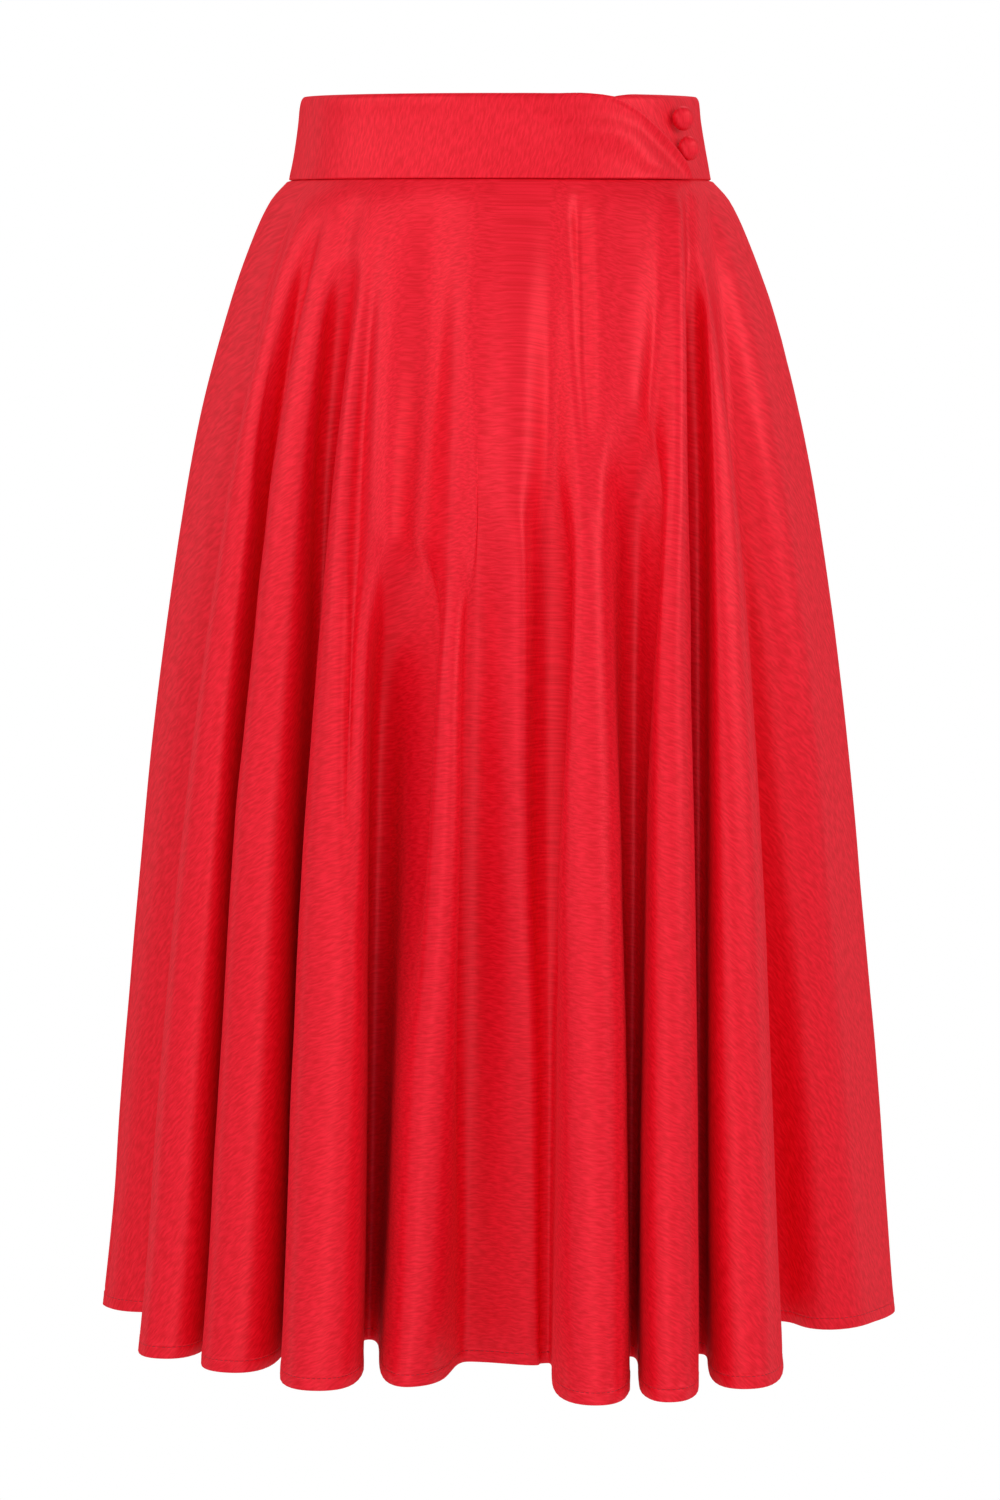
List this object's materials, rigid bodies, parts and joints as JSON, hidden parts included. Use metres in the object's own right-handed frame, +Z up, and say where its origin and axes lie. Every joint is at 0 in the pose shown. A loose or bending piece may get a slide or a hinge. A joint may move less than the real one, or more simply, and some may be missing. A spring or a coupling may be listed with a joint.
{
  "type": "circle skirt",
  "caption": "Midi circle skirt in red satin-faced crepe with a shaped waistband, a crossed flap and covered buttons, in its worn, hollow form.",
  "frame": {"origin": "the centre of the waist, half way up the waistband, where the wearer's waist holds the skirt", "axes": "+Z up, the front faces -Y, and +X is the wearer's left"},
  "size_m": [0.4923, 0.4834, 0.7451],
  "materials": {
    "skirt_cloth": "satin-faced crepe with a fine crinkle",
    "band_cloth": "the same satin-faced crepe over a firm interfacing",
    "button_cloth": "the same cloth drawn tight over a domed button"
  },
  "bodies": {
    "root": {"skirt_front": "skirt_cloth", "skirt_back": "skirt_cloth", "waistband_front": "band_cloth", "waistband_back": "band_cloth", "button_upper": "button_cloth", "button_lower": "button_cloth"}
  },
  "joints": []
}
